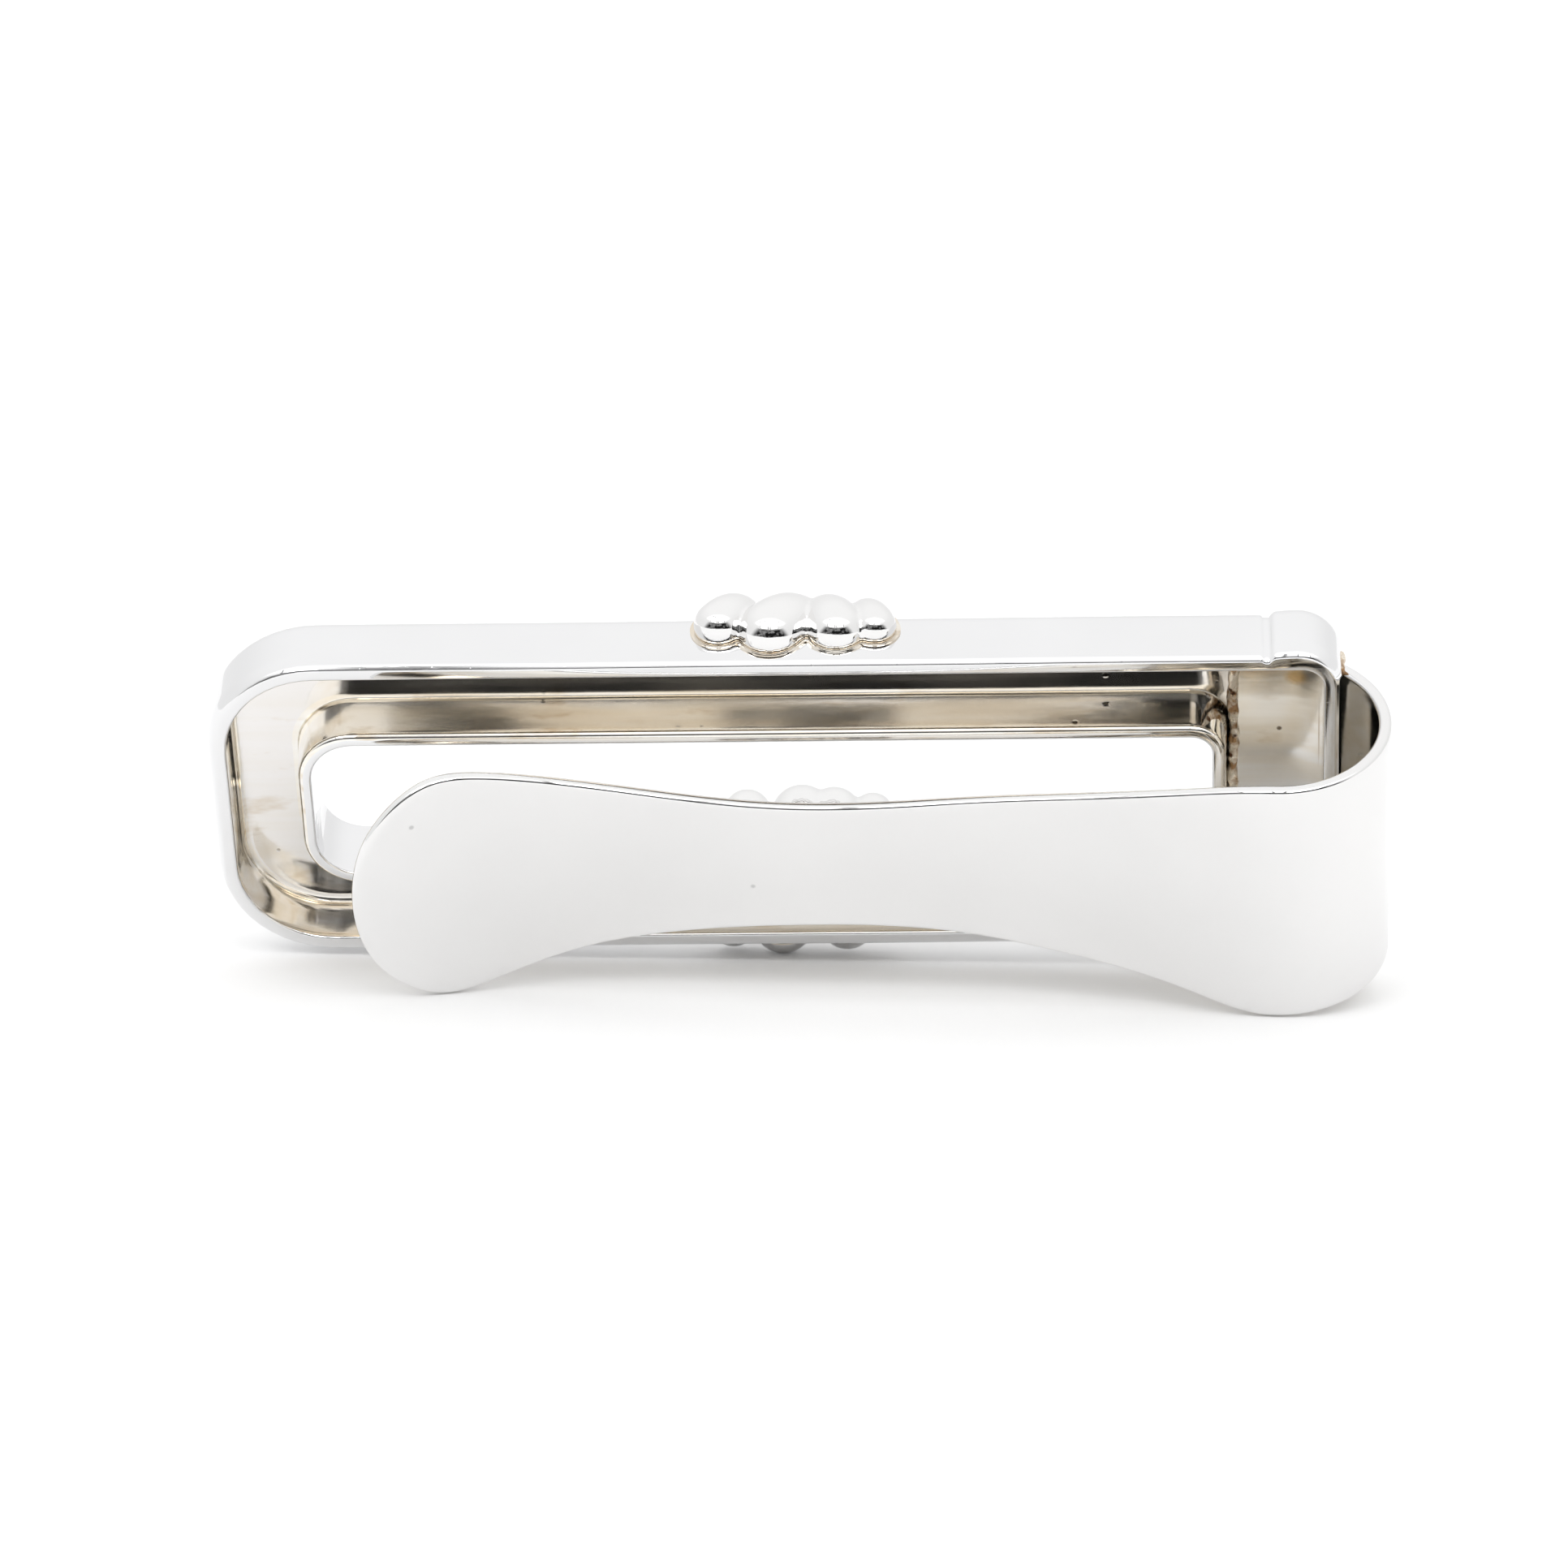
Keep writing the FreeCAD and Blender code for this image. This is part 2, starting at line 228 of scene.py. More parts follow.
def sway(x, z, wavelengths, size):
    """Gentle unevenness of hand-finished metal: a few long waves over the surface."""
    total = 0
    for index, wavelength in enumerate(wavelengths):
        turn = 2 * math.pi / wavelength
        total = total + np.sin(turn * (x + 0.35 * z) + 1.7 * index) * np.cos(turn * 0.8 * z + 0.6 * index)
    return size * total / len(wavelengths)


# ---------------------------------------------------------------- node trees and materials
class Nodes:
    """A node tree; each method adds a node and returns its output."""

    def __init__(self, tree):
        self.tree = tree

    def feed(self, socket, value):
        """Sets a socket from a number, a colour or another node's output."""
        if isinstance(value, bpy.types.NodeSocket):
            self.tree.links.new(value, socket)
        elif isinstance(value, tuple):
            socket.default_value = value + (1,) if len(value) == 3 else value
        else:
            socket.default_value = value

    def ramp(self, value, low, high, out_low=0.0, out_high=1.0, curve="LINEAR"):
        """Value mapped from low..high to out_low..out_high, held at the ends."""
        node = self.tree.nodes.new("ShaderNodeMapRange")
        node.interpolation_type = curve
        self.feed(node.inputs["Value"], value)
        node.inputs["From Min"].default_value = low
        node.inputs["From Max"].default_value = high
        node.inputs["To Min"].default_value = out_low
        node.inputs["To Max"].default_value = out_high
        return node.outputs["Result"]

    def math(self, operation, first, second):
        """Arithmetic on two values."""
        node = self.tree.nodes.new("ShaderNodeMath")
        node.operation = operation
        self.feed(node.inputs[0], first)
        self.feed(node.inputs[1], second)
        return node.outputs[0]

    def camera_ray(self):
        """1 where the camera looks, 0 in reflections and for light."""
        return self.tree.nodes.new("ShaderNodeLightPath").outputs["Is Camera Ray"]


class Shader(Nodes):
    """Builds one material."""

    def __init__(self, name):
        self.material = bpy.data.materials.new(name)
        self.material.use_nodes = True
        super().__init__(self.material.node_tree)
        self.surface = self.tree.nodes["Principled BSDF"]
        self.place = self.tree.nodes.new("ShaderNodeTexCoord").outputs["Object"]

    def stretched(self, size, turn=0.0):
        """Position scaled per axis, in features per millimetre, and turned about Y."""
        node = self.tree.nodes.new("ShaderNodeMapping")
        self.feed(node.inputs["Vector"], self.place)
        node.inputs["Scale"].default_value = [value / MM for value in size]
        node.inputs["Rotation"].default_value = (0, turn, 0)
        return node.outputs["Vector"]

    def noise(self, size, detail=3.0, rough=0.5, turn=0.0):
        """Cloudy noise, 0 to 1."""
        node = self.tree.nodes.new("ShaderNodeTexNoise")
        self.feed(node.inputs["Vector"], self.stretched(size, turn))
        node.inputs["Scale"].default_value = 1.0
        node.inputs["Detail"].default_value = detail
        node.inputs["Roughness"].default_value = rough
        return node.outputs["Fac"]

    def distance(self, centre, size):
        """Distance from a centre, in units of size along each axis, both in millimetres."""
        node = self.tree.nodes.new("ShaderNodeMapping")
        node.vector_type = "TEXTURE"
        self.feed(node.inputs["Vector"], self.place)
        node.inputs["Location"].default_value = [value * MM for value in centre]
        node.inputs["Scale"].default_value = [value * MM for value in size]
        length = self.tree.nodes.new("ShaderNodeVectorMath")
        length.operation = "LENGTH"
        self.feed(length.inputs[0], node.outputs["Vector"])
        return length.outputs["Value"]

    def cells(self, size):
        """Distance to scattered points, for pits and spots."""
        node = self.tree.nodes.new("ShaderNodeTexVoronoi")
        self.feed(node.inputs["Vector"], self.stretched(size))
        node.inputs["Scale"].default_value = 1.0
        return node.outputs["Distance"]

    def blend(self, share, first, second):
        """Colour between first and second."""
        node = self.tree.nodes.new("ShaderNodeMix")
        node.data_type = "RGBA"
        sockets = [socket for socket in node.inputs if socket.type == "RGBA"]
        self.feed(node.inputs["Factor"], share)
        self.feed(sockets[0], first)
        self.feed(sockets[1], second)
        return [socket for socket in node.outputs if socket.type == "RGBA"][0]

    def bump(self, height, depth):
        """Normal from a height, with the depth in millimetres."""
        node = self.tree.nodes.new("ShaderNodeBump")
        self.feed(node.inputs["Height"], height)
        node.inputs["Distance"].default_value = depth * MM
        node.inputs["Strength"].default_value = 1.0
        return node.outputs["Normal"]

    def finish(self, color, rough, normal, metallic=1.0):
        """Feeds the surface and returns the material."""
        self.feed(self.surface.inputs["Base Color"], color)
        self.feed(self.surface.inputs["Roughness"], rough)
        self.feed(self.surface.inputs["Metallic"], metallic)
        self.feed(self.surface.inputs["Normal"], normal)
        return self.material


def darker(color, share):
    """Colour at a share of its brightness."""
    return tuple(share * part for part in color)


def polished_silver(name, tone, scratch=1.0):
    """Bright polished silver with faint clouding, hairline scratches and small pits."""
    shader = Shader(name)
    cloud = shader.noise((0.12, 0.12, 0.12), 4.0)
    color = shader.blend(shader.ramp(cloud, 0.3, 0.7), tone, darker(tone, 0.965))
    lines = shader.noise((0.35, 7.0, 9.0), 2.0, turn=0.25)
    crossed = shader.noise((6.0, 7.0, 0.5), 2.0, turn=-0.35)
    hair = shader.math("ADD", shader.ramp(lines, 0.68, 0.74), shader.ramp(crossed, 0.70, 0.76))
    pits = shader.ramp(shader.cells((0.17, 0.17, 0.17)), 0.012, 0.026)
    color = shader.blend(pits, darker(tone, 0.7), color)
    rough = shader.math("ADD", shader.ramp(cloud, 0.25, 0.75, 0.04, 0.09),
                        shader.math("MULTIPLY", hair, 0.05 * scratch))
    height = shader.math("SUBTRACT", pits, shader.math("MULTIPLY", hair, 0.1 * scratch))
    return shader.finish(color, rough, shader.bump(height, 0.008))


def tarnished_silver(name, pale, tan, brown, stains=()):
    """Inside of the clip: polished too, but under a thin tan film with streaks, clouds and specks."""
    shader = Shader(name)
    cloud = shader.noise((0.1, 0.3, 0.22), 4.0)
    streak = shader.noise((0.1, 1.4, 1.7), 3.0)
    blotch = shader.noise((0.22, 0.6, 0.6), 4.0, 0.6)
    film = shader.math("MULTIPLY", shader.math("ADD", cloud, streak), 0.5)
    color = shader.blend(shader.ramp(film, 0.4, 0.6), pale, tan)
    color = shader.blend(shader.ramp(blotch, 0.6, 0.74), color, brown)
    specks = shader.ramp(shader.cells((0.33, 0.33, 0.33)), 0.03, 0.06, 1.0, 0.0)
    color = shader.blend(specks, color, darker(brown, 0.25))
    for centre, size, tint in stains:
        patch = shader.ramp(shader.distance(centre, size), 0.6, 1.0, 0.9, 0.0)
        color = shader.blend(patch, color, tint)
    height = shader.math("SUBTRACT", shader.math("MULTIPLY", cloud, 2.0), specks)
    return shader.finish(color, shader.ramp(film, 0.35, 0.65, 0.05, 0.15), shader.bump(height, 0.01))


def crusty_solder():
    """Oxidised solder: a rough tan crust with brown and black spots and bright worn grains."""
    shader = Shader("solder_crust")
    grain = shader.noise((3.0, 3.0, 3.0), 4.0, 0.6)
    patch = shader.noise((1.3, 1.3, 1.3), 4.0, 0.6)
    color = shader.blend(shader.ramp(patch, 0.42, 0.56), (0.40, 0.24, 0.12), (0.86, 0.78, 0.66))
    spots = shader.ramp(shader.cells((2.2, 2.2, 2.2)), 0.18, 0.34, 1.0, 0.0)
    color = shader.blend(spots, color, (0.10, 0.045, 0.02))
    rough = shader.ramp(grain, 0.4, 0.65, 0.45, 0.2)
    return shader.finish(color, rough, shader.bump(grain, 0.06), 0.85)


LEG_STAINS = (                  # places on the leg of the strip: centre, size and tint
    ((LEG_X + 1.0, FLOOR_Y, MID_Z + 6.4), (2.4, 1.5, 1.1), (0.74, 0.63, 0.48)),
    ((LEG_X + 2.9, FLOOR_Y, MID_Z + 5.6), (0.75, 1.5, 0.6), (0.80, 0.58, 0.30)),
    ((LEG_X + 4.3, FLOOR_Y, MID_Z + 5.8), (0.3, 1.5, 0.35), (0.45, 0.27, 0.12)),
    ((LEG_X + 2.1, FLOOR_Y, MID_Z + 2.5), (0.16, 1.5, 0.16), (0.12, 0.08, 0.05)),
    ((LEG_X + 3.9, FLOOR_Y, MID_Z + 2.6), (0.07, 1.5, 3.0), (0.50, 0.38, 0.26)),
)
silver_outside = polished_silver("silver_outside", (0.87, 0.87, 0.875))
silver_strip = polished_silver("silver_strip", (0.875, 0.87, 0.865))
silver_cuff = polished_silver("silver_cuff", (0.89, 0.885, 0.88), 0.3)
silver_hollow = tarnished_silver("silver_hollow", (0.95, 0.93, 0.89), (0.91, 0.85, 0.75), (0.72, 0.60, 0.45))
silver_floor = tarnished_silver("silver_floor", (0.90, 0.88, 0.865), (0.88, 0.85, 0.81), (0.74, 0.66, 0.56))
silver_inside = tarnished_silver("silver_inside", (0.94, 0.92, 0.88), (0.90, 0.84, 0.74), (0.74, 0.62, 0.46),
                                 LEG_STAINS)
solder_film = tarnished_silver("solder_film", (0.86, 0.82, 0.75), (0.78, 0.70, 0.59), (0.48, 0.36, 0.23))
solder_crust = crusty_solder()


# ---------------------------------------------------------------- frame
SIDE_STEPS = 70                 # half of the points along a long side up to the fine stretch at the band
FINE_SHARE = 0.93
CORNER_STEPS = 12
END_STEPS = 40
OUTSIDE, HOLLOW, CHANNEL_FLOOR = range(3)    # materials of the frame's mesh


def side_shares():
    """Places along a long side, from the free end to the bend end, closer together near the band."""
    coarse = np.linspace(0, FINE_SHARE, 2 * SIDE_STEPS, endpoint=False)
    fine = np.linspace(FINE_SHARE, 1, SIDE_STEPS // 2, endpoint=False)
    return np.concatenate((coarse, fine))


def rounded_loop(x_low, x_high, half, r_low, r_high):
    """Points round a rectangle about MID_Z and the outward direction at each, as (x, z) rows."""
    z_high = MID_Z + half
    z_low = MID_Z - half
    shares = side_shares()
    ends = np.linspace(0, 1, END_STEPS, endpoint=False)
    points = []
    outward = []

    def corner(cx, cz, radius, start):
        for turn in np.linspace(0, 90, CORNER_STEPS, endpoint=False):
            angle = math.radians(start + turn)
            direction = (math.cos(angle), math.sin(angle))
            points.append((cx + radius * direction[0], cz + radius * direction[1]))
            outward.append(direction)

    def side(first, last, direction, places):
        for share in places:
            points.append((first[0] + (last[0] - first[0]) * share, first[1] + (last[1] - first[1]) * share))
            outward.append(direction)

    backward = 1 - np.concatenate((shares, [1.0]))[:0:-1]
    corner(x_high - r_high, z_low + r_high, r_high, 270)
    side((x_high, z_low + r_high), (x_high, z_high - r_high), (1, 0), ends)
    corner(x_high - r_high, z_high - r_high, r_high, 0)
    side((x_high - r_high, z_high), (x_low + r_low, z_high), (0, 1), backward)
    corner(x_low + r_low, z_high - r_low, r_low, 90)
    side((x_low, z_high - r_low), (x_low, z_low + r_low), (-1, 0), ends)
    corner(x_low + r_low, z_low + r_low, r_low, 180)
    side((x_low + r_low, z_low), (x_high - r_high, z_low), (0, -1), shares)
    return np.array(points), np.array(outward)


def band_rise(x):
    """Height of the softly domed end band over the bars, with the groove beside it."""
    start = BAND_X - GROOVE_WIDTH
    groove = (smooth_step(x, start - BAND_SOFT, start + BAND_SOFT)
              - smooth_step(x, BAND_X - BAND_SOFT, BAND_X + BAND_SOFT))
    across = np.clip((x - BAND_X) / (END_X - BAND_X), 0, 1)
    dome = BAND_EDGE + BAND_DOME * np.sin(math.pi * across ** 0.8)
    shoulder = smooth_step(x, BAND_X - BAND_SOFT, BAND_X + 4 * BAND_SOFT)
    return BAND_RISE * dome * shoulder - GROOVE_DEPTH * groove


def at_depth(xz, y):
    """Points of a loop at one depth, or at its own depth for each point."""
    return np.column_stack((xz[:, 0], np.broadcast_to(y, len(xz)), xz[:, 1]))


def quarter_turn(count, first=0):
    """Sine and cosine of even angles from 0 to 90 degrees, without those before the first wanted."""
    angles = np.radians(np.linspace(0, 90, count))[first:]
    return [(math.sin(angle), math.cos(angle)) for angle in angles]


def outline(inset, y, out=1.0, front=0.0):
    """Loop on the outside; out and front say how much of the band's rise moves it outward and forward."""
    xz, outward = rounded_loop(FREE_X + inset, END_X - BAND_RISE - inset, FRAME_HALF - inset,
                               FREE_CORNER - inset, BEND_CORNER - inset)
    rise = band_rise(xz[:, 0]) + sway(xz[:, 0], xz[:, 1], *FRAME_SWAY)
    return at_depth(xz + outward * (rise * out)[:, None], y + rise * front)


def hollow(inset):
    """Loop round the hollow, as (x, z) rows."""
    return rounded_loop(FREE_X + inset, END_X - inset, FRAME_HALF - inset,
                        FREE_CORNER - inset, BEND_CORNER - inset)[0]


def window(grow):
    """Loop round the window, as (x, z) rows."""
    return rounded_loop(WINDOW_FREE_X - grow, WINDOW_BEND_X + grow, WINDOW_HALF + grow,
                        WINDOW_FREE_CORNER + grow, WINDOW_BEND_CORNER + grow)[0]


def outside_loops():
    """Outside of the frame: crisp edge of the rim, rolled-in sides, walls, and the rounding to the front."""
    roll_inset = ROLL_RADIUS * (1 - math.cos(ROLL_TURN))
    wall_start = RIM_Y + ROLL_RADIUS * math.sin(ROLL_TURN)
    wall_end = FRONT_Y - FRONT_ROUND
    for crisp in (3 * RIM_CRISP, RIM_CRISP):
        yield outline(roll_inset + crisp, RIM_Y)
    for angle in np.linspace(ROLL_TURN, 0, 9):
        crisp = RIM_CRISP if angle == ROLL_TURN else 0.0
        yield outline(ROLL_RADIUS * (1 - math.cos(angle)), wall_start + crisp - ROLL_RADIUS * math.sin(angle))
    for share in steps(7)[:-1]:
        yield outline(0, wall_start + share * (wall_end - wall_start))
    for sine, cosine in quarter_turn(9):
        yield outline(FRONT_ROUND * (1 - cosine), wall_end + FRONT_ROUND * sine, cosine, sine)


def front_loops():
    """Front face, from the outline in to the window."""
    outer = outline(FRONT_ROUND, FRONT_Y, 0)[:, ::2]
    inner = window(EDGE_ROUND)
    for share in steps(43):
        xz = outer * (1 - share) + inner * share
        yield at_depth(xz, FRONT_Y + band_rise(xz[:, 0]) * (1 - share ** 8))


def window_loops():
    """Wall of the window with its rounded edges, then the collar's rim."""
    for sine, cosine in quarter_turn(5, 1):
        yield at_depth(window(EDGE_ROUND * (1 - sine)), FRONT_Y - EDGE_ROUND * (1 - cosine))
    for share in steps(8):
        yield at_depth(window(0), FRONT_Y - EDGE_ROUND + share * (RIM_Y - FRONT_Y + 2 * EDGE_ROUND))
    for sine, cosine in quarter_turn(5, 1):
        yield at_depth(window(EDGE_ROUND * (1 - cosine)), RIM_Y + EDGE_ROUND * (1 - sine))
    for share in steps(3):
        yield at_depth(window(EDGE_ROUND + share * (RING_RIM - EDGE_ROUND - RING_WORN)), RIM_Y)


def collar_loops():
    """Outer face of the collar, from its worn edge to the seam at the channel's floor."""
    edge_y = RIM_Y + RING_WORN
    seam_y = CHANNEL_Y - RING_SEAM
    for sine, cosine in quarter_turn(7, 1):
        yield at_depth(window(RING_RIM - RING_WORN * (1 - sine)), edge_y - RING_WORN * cosine)
    for share in steps(9)[:-1]:
        yield at_depth(window(RING_RIM + (RING_FOOT - RING_RIM) * share), edge_y + share * (seam_y - edge_y))
    for sine, cosine in quarter_turn(4):
        yield at_depth(window(RING_FOOT + RING_SEAM * (1 - cosine)), seam_y + RING_SEAM * sine)


def floor_loops():
    """Floor of the channel, from the collar out to the hollow's wall."""
    inner = window(RING_FOOT + RING_SEAM)
    outer = hollow(RIM_INSET + HOLLOW_ROUND)
    for share in steps(11):
        yield at_depth(inner * (1 - share) + outer * share, CHANNEL_Y)


def hollow_loops():
    """Wall of the hollow, from the floor to the rim."""
    foot_y = CHANNEL_Y - HOLLOW_ROUND
    for sine, cosine in quarter_turn(6, 1):
        yield at_depth(hollow(RIM_INSET + HOLLOW_ROUND * (1 - sine)), foot_y + HOLLOW_ROUND * cosine)
    for share in steps(7):
        yield at_depth(hollow(RIM_INSET), foot_y + share * (RIM_Y + EDGE_ROUND - foot_y))


def rim_loops():
    """Rounded inner edge of the rim."""
    for sine, cosine in quarter_turn(5, 1):
        yield at_depth(hollow(RIM_INSET - EDGE_ROUND * (1 - cosine)), RIM_Y + EDGE_ROUND * (1 - sine))


def build_frame():
    """The hollow frame: polished outside, tarnished inside the channel and on its floor."""
    stretches = ((outside_loops(), OUTSIDE), (front_loops(), OUTSIDE), (window_loops(), OUTSIDE),
                 (collar_loops(), HOLLOW), (floor_loops(), CHANNEL_FLOOR), (hollow_loops(), HOLLOW),
                 (rim_loops(), OUTSIDE))
    loops = []
    finishes = []
    for stretch, finish in stretches:
        for loop in stretch:
            loops.append(loop)
            finishes += [finish] * len(loop)
    faces = grid_faces(len(loops), len(loops[0]), True, True)
    shell = add_mesh("frame_body", np.vstack(loops), faces, (silver_outside, silver_hollow, silver_floor),
                     finishes)
    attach(shell, "frame")
    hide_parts("frame_shell")


# ---------------------------------------------------------------- strip
STRIP_SPACING = 0.25            # between stations on the leg and the bend
FACE_STEPS = 32                 # across a face of the strip, and round each of its edges
EDGE_STEPS = 6
BEND_POINTS = 91                # points along the bend, the blade, and the blade's edge
BLADE_POINTS = 200
EDGE_POINTS = 220


def strip_centre_line():
    """Middle of the strip from the end of its leg to the tip of the tongue, as dense (x, y) rows."""
    radius = BEND_RADIUS - STRIP_THICK / 2
    points = [(LEG_X, BEND_Y + radius)]
    for turn in np.linspace(90, -90, BEND_POINTS):
        angle = math.radians(turn)
        points.append((BEND_X + radius * math.cos(angle), BEND_Y + radius * math.sin(angle)))
    stations = [(BEND_X, BEND_Y - BEND_RADIUS)]
    stations += [(BEND_X - distance, RIM_Y - reach) for distance, reach in TONGUE_REACH]
    outer = smooth_curve(stations, (-1, 0), (-1, -TIP_SLOPE), BLADE_POINTS)
    along = directions_along(outer)
    inner = outer - np.column_stack((-along[:, 1], along[:, 0])) * STRIP_THICK / 2
    return np.vstack((points, inner[1:]))


def strip_stations():
    """Stations along the strip: unrolled length, half width, and the inward direction of its edge."""
    straight = BEND_X - LEG_X + math.pi * (BEND_RADIUS - STRIP_THICK / 2)
    start = [(length, STRIP_HALF) for length in np.arange(0, straight, STRIP_SPACING)]
    edge = [(0, STRIP_HALF)] + list(TONGUE_HALF_WIDTH) + [(TONGUE_LENGTH, 0)]
    blade = smooth_curve(edge, (1, 0), (0, -1), EDGE_POINTS) + (straight, 0)
    places = np.vstack((start, blade))
    along = directions_along(places)
    inward = np.column_stack((along[:, 1], -along[:, 0]))
    inward[-1] = (-1, 0)
    return places, inward


def strip_section():
    """Points round the strip's section: share of its half width, inset of the rounded edge, and height."""
    rounding = []
    for sine, cosine in quarter_turn(EDGE_STEPS + 1):
        rounding.append((STRIP_EDGE * (1 - cosine), STRIP_THICK / 2 - STRIP_EDGE * (1 - sine)))
    outer = [(1, inset, height) for inset, height in rounding]
    outer += [(share, STRIP_EDGE, STRIP_THICK / 2) for share in np.linspace(1, -1, FACE_STEPS + 1)[1:-1]]
    outer += [(-1, inset, height) for inset, height in reversed(rounding)]
    return outer + [(-share, inset, -height) for share, inset, height in outer]


def build_strip():
    """The spring strip as one piece: soldered leg, U bend, waisted tongue and paddle."""
    line = strip_centre_line()
    lengths = lengths_along(line)
    along = directions_along(line, lengths)
    places, inward = strip_stations()
    places[:, 0] *= lengths[-1] / places[-1, 0]
    section = strip_section()
    points = []
    # The first ring has no thickness and closes the cut end of the leg; the tongue closes itself at its tip.
    rings = [(places[0], inward[0], 0.0)] + [(place, lean, 1.0) for place, lean in zip(places, inward)]
    for (length, half), (lean_along, lean_across), full in rings:
        for share, inset, height in section:
            at = length + lean_along * inset
            across = (half + lean_across * inset) * share
            x = np.interp(at, lengths, line[:, 0])
            y = np.interp(at, lengths, line[:, 1])
            tangent_x = np.interp(at, lengths, along[:, 0])
            tangent_y = np.interp(at, lengths, along[:, 1])
            lift = height * full + float(sway(at, across, *STRIP_SWAY))
            points.append((x - tangent_y * lift, y + tangent_x * lift, MID_Z + across))
    columns = len(section)
    faces = grid_faces(len(rings), columns, False, True)
    inner_face = range(columns // 2 + EDGE_STEPS, columns - EDGE_STEPS - 1)
    finishes = [int(column in inner_face) for column in range(columns)] * (len(rings) - 1)
    strip = add_mesh("spring_strip", points, faces, (silver_strip, silver_inside), finishes)
    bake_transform(strip)
    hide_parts("spring_root", "spring_tongue")


# ---------------------------------------------------------------- camera, floor and light
ELEVATION = math.radians(40.0)  # the camera's direction, in the clip's own axes
TURN = math.radians(3.0)
ROLL = math.radians(2.5)
DISTANCE = 370
TARGET = (-0.17, 1.43, 10.35)   # the point it faces, near the middle of the clip

TENT_SIDES = 0.92               # brightness of the tent at its sides, overhead, and seen directly
TENT_TOP = 1.04
BACKDROP = 1.05
LAMP = 1.05                     # extra brightness above the camera, and in the two lamp panes there
LAMP_PANE = 2.1
PANE_CENTRES = ((-0.3, 0.62), (0.28, 0.62))    # sideways and upward parts of the direction to each pane
PANE_HALF = (0.2, 0.17)
PANE_BORDER = 0.85              # darkness of the border round each pane
ROOM_TOP = math.sin(math.radians(24))          # the dark room behind the camera reaches this high
ROOM_DIM = (0.01, 0.3)          # brightness of the room's darkest and palest shapes
ROOM_SHAPES = (0.45, 0.65)      # values of the noise that they stand for
# Where the light changes: from and to, in parts of the direction of view (upward, or toward the camera).
TENT_RISE = (0.2, 0.9)
ROOM_RISE = (ROOM_TOP - 0.04, ROOM_TOP + 0.04)
ROOM_SIDE = (0.25, 0.6)
LAMP_RISE = (0.5, 0.7)
LAMP_SIDE = (-0.1, 0.2)
PANE_SIDE = (0.0, 0.1)
# The same for the edge of a pane and of its border: shares of the way from a pane's middle to its edge.
PANE_EDGE = (0.9, 0.97)
BORDER_START = (0.98, 1.02)
BORDER_END = (1.12, 1.16)
STAGE_GLOW = 0.06               # glow of the floor, as the camera sees it
STAGE_HALF = 600                # half the width of the floor
SLOPE_ROUNDS = 8                # the floor's two slopes depend on each other and are found by turns


def aim_camera():
    """Camera behind and above the clip, looking down on its tongue."""
    forward = Vector((-math.cos(ELEVATION) * math.sin(TURN),
                      math.cos(ELEVATION) * math.cos(TURN), -math.sin(ELEVATION)))
    level_right = Vector((math.cos(TURN), math.sin(TURN), 0))
    level_up = level_right.cross(forward)
    right = level_right * math.cos(ROLL) - level_up * math.sin(ROLL)
    up = level_right * math.sin(ROLL) + level_up * math.cos(ROLL)
    data = bpy.data.cameras.new("camera")
    camera = bpy.data.objects.new("camera", data)
    bpy.context.scene.collection.objects.link(camera)
    matrix = Matrix((right, up, -forward)).transposed().to_4x4()
    target = Vector([part * MM for part in TARGET])
    matrix.translation = target - forward * (DISTANCE * MM)
    camera.matrix_world = matrix
    data.sensor_width = 36.0
    data.lens = 185.1
    data.shift_x = -0.0070
    data.shift_y = 0.0096
    data.clip_start = 0.01
    bpy.context.scene.camera = camera


def node_points(name):
    """Corners of a frame node, in millimetres."""
    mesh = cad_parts[name].data
    points = np.empty(3 * len(mesh.vertices))
    mesh.vertices.foreach_get("co", points)
    return points.reshape(-1, 3) / MM


def resting_plane():
    """Point and slopes, along X and Y, of the table under the clip as it leans back on its tongue."""
    contact = np.array((BEND_X, tongue_low[1], tongue_low[2]))
    cuff = node_points("cuff_lower") - contact
    tongue = node_points("spring_tongue") - contact
    paddle = tongue[tongue[:, 0] < -TONGUE_LENGTH / 2]
    slope_x = 0.0
    for _ in range(SLOPE_ROUNDS):
        slope_y = np.min((cuff[:, 2] - slope_x * cuff[:, 0]) / cuff[:, 1])
        slope_x = np.max((paddle[:, 2] - slope_y * paddle[:, 1]) / paddle[:, 0])
    return contact, slope_x, slope_y


def lay_floor():
    """Pale floor, sloping in the clip's own axes. Returns its upward direction."""
    contact, slope_x, slope_y = resting_plane()
    points = []
    for way_x, way_y in ((-1, -1), (1, -1), (1, 1), (-1, 1)):
        x = way_x * STAGE_HALF
        y = way_y * STAGE_HALF
        points.append((x, y, contact[2] + slope_x * (x - contact[0]) + slope_y * (y - contact[1])))
    shader = Shader("floor_paper")
    shade = shader.noise((0.01, 0.01, 0.01), 2.0)
    color = shader.blend(shade, (0.93, 0.93, 0.93), (0.95, 0.95, 0.95))
    paper = shader.finish(color, 0.7, shader.bump(shader.noise((1.5, 1.5, 1.5)), 0.01), 0.0)
    glow = shader.math("MULTIPLY", shader.camera_ray(), STAGE_GLOW)
    shader.feed(shader.surface.inputs["Emission Color"], (1.0, 1.0, 1.0))
    shader.feed(shader.surface.inputs["Emission Strength"], glow)
    add_mesh("floor", points, [(0, 1, 2, 3)], (paper,))
    return Vector((-slope_x, -slope_y, 1)).normalized()


